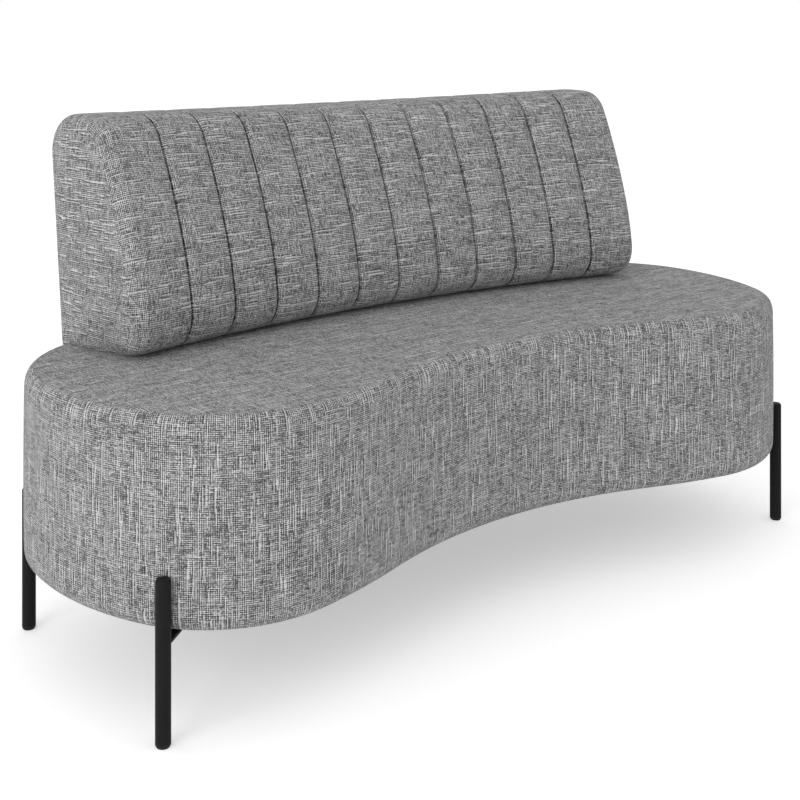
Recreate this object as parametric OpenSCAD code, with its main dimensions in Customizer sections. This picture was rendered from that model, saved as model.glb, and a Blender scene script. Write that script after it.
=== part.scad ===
// Two-seat sofa: a kidney-shaped upholstered seat on four steel tube legs,
// with a curved, channelled backrest bolted down along its rear edge.
// X runs along the sofa, Y from front to back, Z up. The origin is on the floor, at the middle.

/* [Seat outline] */
// Overall width of the seat
seat_w = 1350; // [1200:10:1600]
// Turn of the hollow front, each side of the middle
waist_turn = 20.3; // [14:0.1:24]
// Radius of the run between the hollow front and the rounded lobe
inner_r = 930; // [600:10:1200]
// Heading where that run meets the lobe
inner_end = -10.9; // [-13:0.1:-4]
// Radius of the rounded front lobe
lobe_r = 209; // [190:1:240]
// Heading where the lobe meets the side
lobe_end = 62.4; // [55:0.1:70]
// Radius of the side
side_r = 402; // [300:1:480]
// Heading where the side meets the rear corner
side_end = 95.1; // [92:0.1:105]
// Radius of the rear corner
corner_r = 228; // [190:1:260]
// Heading where the rear corner meets the rear edge
corner_end = 159.1; // [150:0.1:165]

/* [Seat body] */
// Height of the seat's underside above the floor
seat_z = 132; // [100:1:180]
// Height of the upholstered body
seat_h = 274; // [220:1:320]
// How far the top edge rounds in
edge_in = 16; // [8:1:30]
// How far the top edge rounds down
edge_drop = 30; // [16:1:40]
// How far the bottom edge rounds in
hem_in = 26; // [14:1:30]
// How far the bottom edge rounds up
hem_rise = 24; // [14:1:30]
// Rise of the seat's crown
crown_h = 2.4; // [0:0.1:8]
// Width of the crowned border inside the rounded edge
crown_run = 50; // [40:1:60]
// Width of the fabric turned under the base
flange_w = 38; // [20:1:60]

/* [Upholstery] */
// Thickness of the fabric
fabric_t = 2; // [1:0.1:3]
// Height of the seat foam
seat_foam_t = 60; // [40:1:80]
// Thickness of the foam on the front of the backrest
back_foam_t = 36; // [25:1:38]
// Thickness of the wadding on the top and rear of the backrest
wadding_t = 14; // [8:1:17]
// Thickness of the foam pad in each end of the backrest
end_pad_t = 20; // [10:1:40]
// Width of a webbing strap
strap_w = 60; // [40:1:70]
// Thickness of a webbing strap
strap_t = 1.5; // [1:0.1:3]
// Distance between webbing straps
strap_pitch = 115; // [80:1:125]
// Thickness of the dust cover
dust_t = 0.6; // [0.4:0.1:1.5]

/* [Seat frame] */
// Thickness of the base board
board_t = 15; // [12:1:21]
// Thickness of the top frame
frame_t = 18; // [12:1:24]
// Width of the top frame's border
border_w = 68; // [50:1:90]
// Width of the bar across the middle of the top frame
bar_w = 90; // [60:1:120]
// Thickness of the bent side skin
skin_t = 3; // [2:0.1:4]
// Side of a square post
post_w = 40; // [30:1:50]
// Width of the rail under the middle bar
rail_w = 30; // [20:1:45]
// Height of the rail under the middle bar
rail_h = 60; // [40:1:90]

/* [Legs] */
// Diameter of the leg tube
leg_d = 20; // [16:0.1:25]
// Wall of the leg tube
leg_wall = 1.5; // [1:0.1:2.5]
// Height of the top of the leg
leg_h = 208; // [185:1:230]
// Heading of the outline where the front legs stand
front_leg_at = 50.9; // [30:0.1:54]
// Heading of the outline where the rear legs stand
rear_leg_at = 135.2; // [106:0.1:149]
// Height of a plug outside the tube
plug_h = 6; // [5:0.5:10]
// Rounding of a plug's edge
plug_round = 4; // [2:0.5:5]
// Depth of a plug inside the tube
spigot_h = 14; // [8:1:20]
// Thickness of the mounting plate
plate_t = 4; // [3:0.5:6]
// Width of the plate's tongue
tongue_w = 18; // [12:1:24]
// Side of the plate's square pad
pad_w = 60; // [50:1:70]
// Rounding of the pad's corners
pad_round = 8; // [4:1:12]
// Distance from the leg's axis to the middle of the pad
pad_reach = 108; // [104:1:125]

/* [Backrest] */
// Radius of the line where the backrest's front meets the seat
back_r = 2196; // [1800:1:2600]
// Distance from the seat's rear edge to that line
back_set = 189; // [175:1:200]
// Height of the backrest above the seat, at the middle
back_h = 340.6; // [310:0.1:400]
// Rise of the backrest's top towards its ends
end_rise = 7.5; // [0:0.1:15]
// Number of channels
channels = 12; // [8:1:14]
// Width of a channel
channel_w = 86; // [70:0.5:90]
// Extra width of an end channel, which rolls round the corner
end_extra = 13; // [8:0.5:20]
// Height of a channel's crown over its seams
channel_h = 6; // [3:0.5:10]
// Rounding of the backrest's end edges
end_round = 15; // [8:0.5:20]
// Share of the radial spread that the ends keep as the section goes back
spread_share = 0.553; // [0.4:0.001:1]
// Radius of the rear bottom edge
heel_r = 18; // [16:1:24]
// Heading of the rear face, with 90 upright
rear_lean = 84; // [80:0.1:88]
// Radius of the rear top edge
rear_top_r = 57; // [45:1:70]
// Flat run across the top
top_flat = 48.5; // [30:0.5:70]
// Radius of the front top edge
front_top_r = 59.5; // [50:0.5:70]
// Heading where the front top edge meets the upper front
upper_at = 242.3; // [238:0.1:246]
// Heading where the upper front meets the lower front
lower_at = 251.4; // [248:0.1:256]
// Radius of the lower front
lower_r = 503; // [400:1:600]
// Heading where the lower front meets the foot
foot_at = 262.6; // [259:0.1:268]
// Radius of the foot, where the front tucks in over the seat
foot_r = 54; // [50:1:60]

/* [Backrest frame] */
// Thickness of the bottom and top rails
back_rail_t = 18; // [12:1:21]
// Distance from the contact line to the bottom rail's front
sole_set = 22; // [15:1:30]
// Width of the bottom rail
sole_w = 118; // [100:1:125]
// Thickness of a rib
rib_t = 15; // [12:1:21]
// Angle between the inner ribs
rib_step = 6.2; // [5:0.1:6.4]
// Thickness of the bent panels
panel_t = 3; // [2:0.1:4]
// Side of a square spacer block
block_w = 50; // [40:1:60]
// Distance from the contact line to the middle of the blocks
block_set = 85; // [80:1:100]
// Angle from the middle to the inner blocks
block_near = 3.1; // [2.5:0.1:4]
// Angle from the middle to the outer blocks
block_far = 9.4; // [8.6:0.1:10]

/* [Fasteners] */
// Diameter of a wood screw
screw_d = 4.8; // [4:0.1:6]
// Length of a wood screw
screw_l = 20; // [14:1:20]
// Diameter of a screw head
screw_head_d = 9; // [8:0.5:12]
// Height of a screw head
screw_head_h = 2.6; // [2:0.1:4]
// Distance between a plate's screws
screw_pitch = 40; // [30:1:44]
// Diameter of a back bolt
bolt_d = 8; // [6:1:10]
// Length of a back bolt
bolt_l = 100; // [96:1:104]
// Diameter of a bolt head
bolt_head_d = 13; // [10:0.5:16]
// Height of a bolt head
bolt_head_h = 5; // [4:0.5:8]
// Diameter of a washer
washer_d = 24; // [18:1:30]
// Thickness of a washer
washer_t = 1.6; // [1:0.1:2.5]
// Outer diameter of a T-nut's barrel
nut_d = 11; // [10.6:0.1:13]
// Length of a T-nut's barrel
nut_l = 12; // [8:1:14]
// Diameter of a T-nut's flange
nut_flange_d = 22; // [18:1:28]
// Thickness of a T-nut's flange
nut_flange_t = 1.5; // [1:0.1:2.5]

/* [Hidden] */
// Clearance between neighbouring pieces
gap = 0.3;
// Clearance of a hole round its fastener
hole_gap = 0.2;
// Clearance where a weld joins the plate to the tube
weld_gap = 0.1;
// Overrun of a cut past the surface it opens
over = 5;
// Largest distance from a curve to the flat facets that follow it
sag = 1.25;
// Length that is longer than anything here, for cutting shapes
big = 2 * seat_w;
// Facets of round rods and holes
round_n = 24;
hole_n = 16;

// Steps that follow the rounded edges of the soft forms
edge_steps = 3;
hem_steps = 2;
corner_steps = 2;
// Shares of the crown's run and of its drop, from the middle outwards
crown_shares = [[1, 0], [0.4, 0.33]];
// Shares of a channel's crown from its seam to the next, and where the end channel meets the corner
channel_shares = [0, 1, 1];
corner_share = 0.6;
// Shares of the crown that are left on the top and on the rear of the backrest
top_share = 0.2;
rear_share = 0.5;
// Places of the posts on each side: arc of the outline and heading there
post_places = [[0, -15], [4, 75], [7, 165]];

// A turn to the left by a radius, as far as it moves along and across
function turn_x(r, a, b) = r * (sin(b) - sin(a));
function turn_y(r, a, b) = r * (cos(a) - cos(b));

// Each arc of the outline's right half: radius, heading at its end, straight run after it.
// The first one is hollow, so its radius counts as negative.
waist_r = (seat_w / 2 - turn_x(inner_r, -waist_turn, inner_end) - turn_x(lobe_r, inner_end, lobe_end)
    - turn_x(side_r, lobe_end, 90)) / sin(waist_turn);
close_r = (seat_w / 2 + turn_x(side_r, 90, side_end) + turn_x(corner_r, side_end, corner_end))
    / sin(corner_end);
outline = [
    [-waist_r, -waist_turn, 0],
    [inner_r, inner_end, 0],
    [lobe_r, 0, 0],
    [lobe_r, lobe_end, 0],
    [side_r, 90, 0],
    [side_r, side_end, 0],
    [corner_r, corner_end, 0],
    [close_r, 180, 0]
];

// A path of arcs and straight runs from p with heading h, set in by e
function arc_mid(p, h, r) = p + r * [-sin(h), cos(h)];
function arc_point(c, h, r) = c + r * [sin(h), -cos(h)];
function arc_stop(p, h, s, e) = arc_point(arc_mid(p, h, s[0] - e), s[1], s[0] - e);
function arc_steps(s, h) = ceil(abs(s[1] - h) / (2 * acos(1 - sag / abs(s[0]))));
function arc_points(p, h, s, e) =
    [for (k = [0:arc_steps(s, h) - 1])
        arc_point(arc_mid(p, h, s[0] - e), h + (s[1] - h) * k / arc_steps(s, h), s[0] - e)];
function starts(p, h, path, e, i = 0) =
    i == len(path) ? [[p, h]]
    : concat([[p, h]], starts(arc_stop(p, h, path[i], e) + path[i][2] * [cos(path[i][1]), sin(path[i][1])],
        path[i][1], path, e, i + 1));
function path_starts(p, h, path, e) = starts(p + e * [-sin(h), cos(h)], h, path, e);
function path_points(p, h, path, e) =
    let (s = path_starts(p, h, path, e))
    concat([for (i = [0:len(path) - 1])
        each concat(arc_points(s[i][0], s[i][1], path[i], e),
            path[i][2] > 0 ? [arc_stop(s[i][0], s[i][1], path[i], e)] : [])],
        [s[len(path)][0]]);

// The backrest's section, in distance back from the contact line and height above the seat
rear_run = (back_h - turn_y(heel_r, 0, rear_lean) - turn_y(rear_top_r, rear_lean, 180)) / sin(rear_lean);
upper_r = -(back_h + turn_y(front_top_r, 180, upper_at) + turn_y(lower_r, lower_at, foot_at)
    + turn_y(foot_r, foot_at, 360)) / turn_y(1, upper_at, lower_at);
sole_run = top_flat - turn_x(heel_r, 0, rear_lean) - rear_run * cos(rear_lean)
    - turn_x(rear_top_r, rear_lean, 180) - turn_x(front_top_r, 180, upper_at)
    - turn_x(upper_r, upper_at, lower_at) - turn_x(lower_r, lower_at, foot_at) - turn_x(foot_r, foot_at, 360);
section_path = [
    [heel_r, rear_lean, rear_run],
    [rear_top_r, 180, top_flat],
    [front_top_r, upper_at, 0],
    [upper_r, lower_at, 0],
    [lower_r, foot_at, 0],
    [foot_r, 360, 0]
];
function section(e) = path_points([sole_run, 0], 0, section_path, e);
// Where the section's parts start in its list of points
rear_i = arc_steps(section_path[0], 0);
rear_top_i = rear_i + 1;
front_top_i = rear_top_i + arc_steps(section_path[1], rear_lean) + 1;
upper_i = front_top_i + arc_steps(section_path[2], 180);
foot_i = upper_i + arc_steps(section_path[3], upper_at) + arc_steps(section_path[4], lower_at);
toe_i = foot_i + arc_steps(section_path[5], foot_at) - 1;
function part_of(points, a, b) = [for (i = [a:b < a ? -1 : 1:b]) points[i]];
function at_height(a, b, z) = a + (b - a) * (z - a[1]) / (b[1] - a[1]);

// The section set in by e, and raised by a share of the channel's crown
function crowned(e, share) =
    let (a = section(e), b = section(e + 1))
    [for (i = [0:len(a) - 1])
        let (n = a[i] - b[i], w = max(top_share, n[0] < 0 ? -n[0] : rear_share * n[0]),
            p = a[i] + channel_h * share * w * n)
        [p[0], max(p[1], 0)]];

// The sofa's front and rear, from the middle of its hollow front, give the origin
half_points = path_points([0, 0], 0, outline, 0);
half_n = len(half_points) - 1;
seat_front = min([for (p = half_points) p[1]]);
seat_rear = half_points[half_n][1];
back_rear = seat_rear - back_set + max([for (p = crowned(0, 1)) p[0]]);
start = [0, -(seat_front + max(seat_rear, back_rear)) / 2];
outline_starts = path_starts(start, 0, outline, 0);
function outline_at(place, e) =
    let (s = outline_starts[place[0]], r = outline[place[0]][0])
    arc_point(arc_mid(s[0], s[1], r), place[1], r - e);

// The whole outline, set in by e: the right half, then its mirror image
function bean(e) =
    let (half = path_points(start, 0, outline, e))
    concat(half, [for (i = [half_n - 1:-1:1]) [-half[i][0], half[i][1]]]);
bean_n = 2 * half_n;

// Triangles of a closed form that joins rings or columns of n points.
// Its first and last ring are filled by rungs, which are pairs of points across it.
function rungs(pairs) =
    [for (j = [0:len(pairs) - 2])
        let (a = pairs[j], b = pairs[j + 1])
        each [for (t = [[a[0], b[0], a[1]], [b[0], b[1], a[1]]])
            if (t[0] != t[1] && t[1] != t[2] && t[0] != t[2]) t]];
function bean_rungs() =
    rungs([for (j = [-floor(half_n / 2):floor(half_n / 2)]) [(j + bean_n) % bean_n, half_n - j]]);
function section_rungs(n) = rungs([for (j = [0:ceil(n / 2) - 1]) [j, n - 1 - j]]);
function closed_faces(n, m, ends) = concat(
    [for (j = [0:m - 2], i = [0:n - 1])
        let (a = j * n + i, b = j * n + (i + 1) % n)
        each [[a, b, a + n], [b, b + n, a + n]]],
    [for (t = ends) [t[0], t[2], t[1]]],
    [for (t = ends) t + (m - 1) * n * [1, 1, 1]]
);

// Heights in the seat
seat_top = seat_z + seat_h;
board_z = seat_z + fabric_t + gap;
foam_top = seat_top - fabric_t - gap;
foam_z = foam_top - seat_foam_t;
frame_top = foam_z - gap - strap_t - gap;
frame_z = frame_top - frame_t;
dust_z = seat_z - gap - dust_t;
plate_z = dust_z - gap - plate_t;
bolt_z = frame_z - gap - washer_t;
back_z = seat_top + gap;
// Distances from the outside of the seat to its pieces
inside = fabric_t + gap;
frame_inset = hem_in + gap;
skin_inset = frame_inset - gap - skin_t;
flange_end = hem_in + flange_w;

// Insets and heights of the seat's rings: crown, rounded top edge and hem, e inside the outer face
function crown_rings(e) =
    [for (s = crown_shares) [edge_in + crown_run * s[0], seat_top - e - crown_h * s[1]]];
function edge_rings(e) =
    [for (i = [edge_steps:-1:0])
        let (a = 90 * i / edge_steps)
        [e + (edge_in - e) * (1 - cos(a)), seat_top - crown_h - edge_drop + (edge_drop - e) * sin(a)]];
function hem_rings(e) =
    [for (i = [0:hem_steps])
        let (a = 90 * i / hem_steps)
        [e + (hem_in - e) * (1 - cos(a)), seat_z + hem_rise - (hem_rise - e) * sin(a)]];
function back_to_front(list) = [for (i = [len(list) - 1:-1:0]) list[i]];

// The backrest follows one curve in plan, moved back by d. Its channels and its ends fan out
// by a share of what a turn round the curve's centre would give.
back_mid = start + [0, seat_rear - back_set - back_r];
unit_turn = 180 / PI / back_r;
seam_turn = channel_w * unit_turn;
end_turn = (channels / 2 * channel_w + end_extra) * unit_turn;
function back_place(turn, d) =
    let (x = (back_r + spread_share * d) * sin(turn))
    [x, back_mid[1] + sqrt(back_r * back_r - x * x) + d];
function back_lean(turn) = atan2(spread_share * sin(turn), 1 - spread_share * sin(turn) * tan(turn));
function back_point(turn, p) =
    let (q = back_place(turn, p[0]))
    [q[0], q[1], back_z + p[1] + end_rise * pow(turn / end_turn, 2) * p[1] / back_h];
function end_at(e) = end_turn - e * unit_turn;

// Insets of the backrest's layers, from its cover to its ribs
panel_front = inside + back_foam_t + gap;
panel_rear = inside + wadding_t + gap;
rib_front = panel_front + panel_t + gap;
rib_rear = panel_rear + panel_t + gap;
frame_end = inside + end_pad_t + gap;
// Heights of the bottom rail's top and the top rail's underside above the seat
sole_top = inside + back_rail_t;
rib_z = sole_top + gap;
crest_z = back_h - panel_front - back_rail_t;
rib_top = crest_z - gap;
// The top rail lies under the flat between the section's two top arcs
crest_set = section(0)[front_top_i][0] + gap;
crest_w = top_flat - 2 * gap;
end_rib_turn = end_at(frame_end + rib_t / 2);
rib_turns = [-end_rib_turn, -rib_step, 0, rib_step, end_rib_turn];
block_turns = [-block_far, -block_near, block_near, block_far];
strap_x = bar_w / 2 + strap_pitch / 2;

// Legs

// Places of the front and the rear legs along the outline
leg_places = [[3, front_leg_at], [6, rear_leg_at]];

// Stands at a leg, with X pointing in under the seat
module at_leg(i, side) {
    p = outline_at(leg_places[i], -leg_d / 2 - gap);
    translate([side * p[0], p[1], 0])
        rotate([0, 0, side > 0 ? leg_places[i][1] + 90 : 90 - leg_places[i][1]])
            children();
}

module hole(d, z, h) {
    translate([0, 0, z]) cylinder(d = d + 2 * hole_gap, h = h, $fn = hole_n);
}

// A straight tube, open at both ends
module leg(i, side) {
    color("#26272a") at_leg(i, side) translate([0, 0, plug_h])
        difference() {
            cylinder(d = leg_d, h = leg_h - 2 * plug_h, $fn = round_n);
            translate([0, 0, -over]) cylinder(d = leg_d - 2 * leg_wall, h = leg_h + over, $fn = round_n);
        }
}

// A plug with a rounded edge outside the tube and a spigot inside it
module plug() {
    rotate_extrude($fn = round_n) {
        intersection() {
            union() {
                translate([0, plug_round]) square([leg_d / 2, plug_h - plug_round]);
                square([leg_d / 2 - plug_round, plug_h]);
                translate([leg_d / 2 - plug_round, plug_round]) circle(plug_round, $fn = hole_n);
            }
            square([leg_d / 2, plug_h]);
        }
        square([leg_d / 2 - leg_wall - gap, plug_h + spigot_h]);
    }
}

module foot(i, side) {
    color("#1f2022") at_leg(i, side) plug();
}

module leg_cap(i, side) {
    color("#26272a") at_leg(i, side) translate([0, 0, leg_h]) mirror([0, 0, 1]) plug();
}

module at_screws() {
    for (x = [-1, 1], y = [-1, 1])
        translate([pad_reach + x * screw_pitch / 2, y * screw_pitch / 2, 0]) children();
}

module at_all_screws() {
    for (i = [0, 1], side = [-1, 1])
        at_leg(i, side) at_screws() children();
}

// One steel blank: a tongue that is welded to the tube and a pad that is screwed under the base
module leg_plate(i, side) {
    color("#26272a") at_leg(i, side)
        difference() {
            translate([0, 0, plate_z]) {
                translate([0, -tongue_w / 2, 0]) cube([pad_reach, tongue_w, plate_t]);
                translate([pad_reach - pad_w / 2, pad_round - pad_w / 2, 0])
                    cube([pad_w, pad_w - 2 * pad_round, plate_t]);
                translate([pad_reach - pad_w / 2 + pad_round, -pad_w / 2, 0])
                    cube([pad_w - 2 * pad_round, pad_w, plate_t]);
                for (x = [-1, 1], y = [-1, 1])
                    translate([pad_reach + x * (pad_w / 2 - pad_round), y * (pad_w / 2 - pad_round), 0])
                        cylinder(r = pad_round, h = plate_t, $fn = round_n);
            }
            translate([0, 0, plate_z - over])
                cylinder(r = leg_d / 2 + weld_gap, h = plate_t + 2 * over, $fn = round_n);
            at_screws() hole(screw_d, plate_z - over, plate_t + 2 * over);
        }
}

module plate_screws() {
    color("#5a5c60") at_all_screws() translate([0, 0, plate_z - screw_head_h]) {
        cylinder(d = screw_head_d, h = screw_head_h, $fn = hole_n);
        cylinder(d = screw_d, h = screw_head_h + screw_l, $fn = hole_n);
    }
}

// Seat

module bean_plate(e, z, t) {
    translate([0, 0, z]) linear_extrude(t) polygon(bean(e));
}

// Everything in front of the backrest's curve, moved back by d
module before(d, z, t) {
    translate([back_mid[0], back_mid[1] + d, z]) cylinder(r = back_r, h = t, $fn = 180);
}

// A thin cloth that closes the underside
module dust_cover() {
    color("#2b2b2d") difference() {
        bean_plate(hem_in + flange_w / 3, dust_z, dust_t);
        at_all_screws() translate([-screw_d / 2 - hole_gap, -screw_d / 2 - hole_gap, dust_z - over])
            cube([screw_d + 2 * hole_gap, screw_d + 2 * hole_gap, dust_t + 2 * over]);
    }
}

module base_board() {
    color("#c9a877") difference() {
        bean_plate(frame_inset, board_z, board_t);
        at_all_screws() hole(screw_d, board_z - over, plate_z + screw_l + gap + over - board_z);
    }
}

// Plywood ring with a bar across the middle and a wide rear part that carries the backrest
module top_frame() {
    color("#c9a877") difference() {
        bean_plate(frame_inset, frame_z, frame_t);
        for (side = [-1, 1])
            intersection() {
                bean_plate(frame_inset + border_w, frame_z - over, frame_t + 2 * over);
                before(sole_set, frame_z - over, frame_t + 2 * over);
                translate([side > 0 ? bar_w / 2 : -big - bar_w / 2, -big / 2, frame_z - over])
                    cube([big, big, frame_t + 2 * over]);
            }
        at_blocks() hole(bolt_d, frame_z - over, frame_t + 2 * over);
    }
}

// A timber on edge under the middle bar, from the front of the skin to its rear
module middle_rail() {
    color("#d8bd8f") intersection() {
        bean_plate(frame_inset + gap, frame_z - rail_h - gap, rail_h);
        translate([-rail_w / 2, -big / 2, seat_z]) cube([rail_w, big, seat_h]);
    }
}

// A post stands on the base board and carries the top frame, just inside the skin
module seat_post(side, i) {
    p = outline_at(post_places[i], frame_inset + post_w / 2 + 2 * sag + gap);
    color("#d8bd8f") translate([side * p[0], p[1], board_z + board_t + gap])
        rotate([0, 0, side * post_places[i][1]])
            translate([-post_w / 2, -post_w / 2, 0])
                cube([post_w, post_w, frame_z - board_z - board_t - 2 * gap]);
}

// Thin plywood bent round the base board and the top frame
module side_skin() {
    low = seat_z + hem_rise / 3;
    color("#b98f5a") difference() {
        bean_plate(skin_inset, low, frame_top - low);
        bean_plate(skin_inset + skin_t, low - over, frame_top - low + 2 * over);
    }
}

// Foam strip round the skin, from above the rounded hem to the seat foam
module side_foam() {
    low = seat_z + hem_rise;
    color("#e8dfae") difference() {
        bean_plate(inside, low, foam_z - gap - low);
        bean_plate(skin_inset - gap, low - over, foam_z - low + 2 * over);
    }
}

// An elastic strap from the front border to the wide rear part of the top frame
module webbing_strap(side, i) {
    color("#3c3f44") intersection() {
        bean_plate(frame_inset + border_w / 2, frame_top + gap, strap_t);
        before(block_set - block_w / 2 - over, frame_top, strap_t + 2 * gap);
        translate([side * (strap_x + strap_pitch * i) - strap_w / 2, -big / 2, frame_top])
            cube([strap_w, big, strap_t + 2 * gap]);
    }
}

module bean_stack(rings) {
    polyhedron([for (r = rings) each [for (p = bean(r[0])) [p[0], p[1], r[1]]]],
        closed_faces(bean_n, len(rings), bean_rungs()));
}

// Foam slab with a rounded top edge and a slight crown, with pockets for the spacer blocks
module seat_foam() {
    color("#e8dfae") difference() {
        bean_stack(concat(crown_rings(inside), edge_rings(inside), [[inside, foam_z]]));
        at_blocks() translate([-block_w / 2 - gap, -block_w / 2 - gap, foam_z - over])
            cube([block_w + 2 * gap, block_w + 2 * gap, seat_foam_t + 2 * over]);
    }
}

// One fabric skin from the crown over the rounded edge and down the side, turned under the base
module seat_cover() {
    color("#8b8b8d") difference() {
        bean_stack(concat(
            crown_rings(0), edge_rings(0), hem_rings(0),
            [[flange_end, seat_z], [flange_end, seat_z + fabric_t]],
            back_to_front(concat(crown_rings(fabric_t), edge_rings(fabric_t), hem_rings(fabric_t)))
        ));
        at_blocks() hole(bolt_d, foam_top, seat_foam_t);
    }
}

// Backrest

module at_blocks() {
    for (t = block_turns) at_block(t) children();
}

module at_block(t) {
    p = back_place(t, block_set);
    translate([p[0], p[1], 0]) rotate([0, 0, -back_lean(t)]) children();
}

// A hardwood block through the seat foam, from the top frame to the cover
module spacer_block(t) {
    z = frame_top + gap;
    h = foam_top - gap - z;
    color("#d8bd8f") at_block(t) difference() {
        translate([-block_w / 2, -block_w / 2, z]) cube([block_w, block_w, h]);
        hole(bolt_d, z - over, h + 2 * over);
    }
}

module back_bolts() {
    color("#8f9297") at_blocks() translate([0, 0, bolt_z - gap - bolt_head_h]) {
        cylinder(d = bolt_head_d, h = bolt_head_h, $fn = 6);
        cylinder(d = bolt_d, h = bolt_head_h + bolt_l, $fn = hole_n);
    }
}

module back_washers() {
    color("#8f9297") at_blocks() difference() {
        translate([0, 0, bolt_z]) cylinder(d = washer_d, h = washer_t, $fn = round_n);
        hole(bolt_d, bolt_z - over, washer_t + 2 * over);
    }
}

module back_t_nuts() {
    z = back_z + sole_top + gap;
    color("#8f9297") at_blocks() difference() {
        translate([0, 0, z]) {
            cylinder(d = nut_flange_d, h = nut_flange_t, $fn = round_n);
            translate([0, 0, -nut_l]) cylinder(d = nut_d, h = nut_l + nut_flange_t, $fn = hole_n);
        }
        hole(bolt_d, z - nut_l - over, nut_l + nut_flange_t + 2 * over);
    }
}

// Joins columns of section points. Each column is a turn and its points.
module loft(columns) {
    n = len(columns[0][1]);
    polyhedron([for (c = columns) each [for (p = c[1]) back_point(c[0], p)]],
        closed_faces(n, len(columns), section_rungs(n)));
}

// One section carried along the backrest, with a column at each seam
module back_loft(points, end) {
    loft([for (t = concat([end], seam_turns, [-end])) [t, points]]);
}

seam_turns = [for (c = [channels / 2 - 1:-1:1 - channels / 2]) c * seam_turn];

module back_board(set, w, z) {
    color("#c9a877") intersection() {
        difference() {
            before(set + w, back_z + z, back_rail_t);
            before(set, back_z + z - over, back_rail_t + 2 * over);
        }
        translate([0, 0, back_z + z - over]) linear_extrude(back_rail_t + 2 * over)
            polygon([
                back_place(end_at(frame_end), -back_h), back_place(end_at(frame_end), back_h),
                back_place(-end_at(frame_end), back_h), back_place(-end_at(frame_end), -back_h)
            ]);
    }
}

module back_bottom_rail() {
    difference() {
        back_board(sole_set, sole_w, inside);
        at_blocks() hole(nut_d, back_z, sole_top + over);
    }
}

module back_top_rail() {
    back_board(crest_set, crest_w, crest_z);
}

// A plywood rib from the bottom rail to the top rail. The outer two follow the end faces.
rib_face = section(rib_front);
rib_heel = part_of(section(rib_rear), rear_i, rear_top_i);
rib_points = concat(
    [at_height(rib_heel[0], rib_heel[1], rib_z), at_height(rib_heel[0], rib_heel[1], rib_top)],
    [at_height(rib_face[upper_i], rib_face[upper_i + 1], rib_top)],
    part_of(rib_face, upper_i + 1, toe_i),
    [[sole_set, rib_z]]
);

module back_rib(t) {
    p = back_place(t, 0);
    color("#c9a877") intersection() {
        back_loft(rib_points, end_at(frame_end));
        translate([p[0], p[1], back_z]) rotate([0, 0, -back_lean(t)])
            translate([-rib_t / 2, -big / 2, 0]) cube([rib_t, big, rib_top]);
    }
}

// Thin panels bent over the ribs' front and rear edges
module back_front_panel() {
    color("#b98f5a") back_loft(concat(
        part_of(section(panel_front + panel_t), foot_i, upper_i),
        part_of(section(panel_front), upper_i, foot_i)
    ), end_at(frame_end));
}

module back_rear_panel() {
    outer = part_of(section(panel_rear), rear_i, rear_top_i);
    inner = part_of(section(panel_rear + panel_t), rear_i, rear_top_i);
    color("#b98f5a") back_loft([
        at_height(outer[0], outer[1], rib_z), outer[1],
        inner[1], at_height(inner[0], inner[1], rib_z)
    ], end_at(frame_end));
}

// Where the rear top edge of the section, set in by e, passes height z
function rear_top(e, z) = at_height(section(e)[rear_top_i], section(e)[rear_top_i + 1], z);

// Foam over the front and the top
module back_foam() {
    color("#e8dfae") back_loft(concat(
        [rear_top(inside, crest_z + gap)],
        part_of(section(inside), rear_top_i + 1, toe_i),
        part_of(section(inside + back_foam_t), toe_i, rear_top_i + 1),
        [rear_top(inside + back_foam_t, crest_z + gap)]
    ), end_at(frame_end));
}

// Wadding over the rear
module back_wadding() {
    color("#eeeeea") back_loft(concat(
        part_of(section(inside), rear_i, rear_top_i),
        [rear_top(inside, crest_z), rear_top(inside + wadding_t, crest_z)],
        part_of(section(inside + wadding_t), rear_top_i, rear_i)
    ), end_at(frame_end));
}

// Foam pad between an end rib and the cover, with the cover's rounded end edge
module back_end_pad(side) {
    right = [
        [end_at(inside), section(end_round + gap)],
        [end_at(end_round + gap), section(inside)],
        [end_at(inside + end_pad_t), section(inside)]
    ];
    color("#e8dfae") loft(side > 0 ? right : back_to_front([for (c = right) [-c[0], c[1]]]));
}

// Columns of the cover's right end, and of the channels between the two ends
corner_columns = [for (i = [corner_steps:-1:0])
    let (a = 90 * i / corner_steps)
    [end_at(end_round * (1 - sin(a))),
        crowned(end_round * (1 - cos(a)), corner_share * (1 - i / corner_steps))]];
channel_ends = concat([end_at(end_round)], seam_turns, [-end_at(end_round)]);
channel_columns = [for (c = [0:channels - 1], k = [0:len(channel_shares) - 1])
    if (c + k > 0)
        let (s = channel_ends[c], t = channel_ends[c + 1])
        [s + (t - s) * k / len(channel_shares), crowned(0, channel_shares[k])]];
cavity_end = [
    [end_at(fabric_t), section(end_round)],
    [end_at(end_round), section(fabric_t)]
];
function other_end(columns) = back_to_front([for (c = columns) [-c[0], c[1]]]);

// One channelled fabric skin that is closed underneath
module back_cover() {
    color("#8b8b8d") difference() {
        loft(concat(corner_columns, channel_columns, other_end(corner_columns)));
        loft(concat(cavity_end, [for (t = seam_turns) [t, section(fabric_t)]], other_end(cavity_end)));
        at_blocks() hole(bolt_d, back_z - over, over + inside);
    }
}

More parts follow.
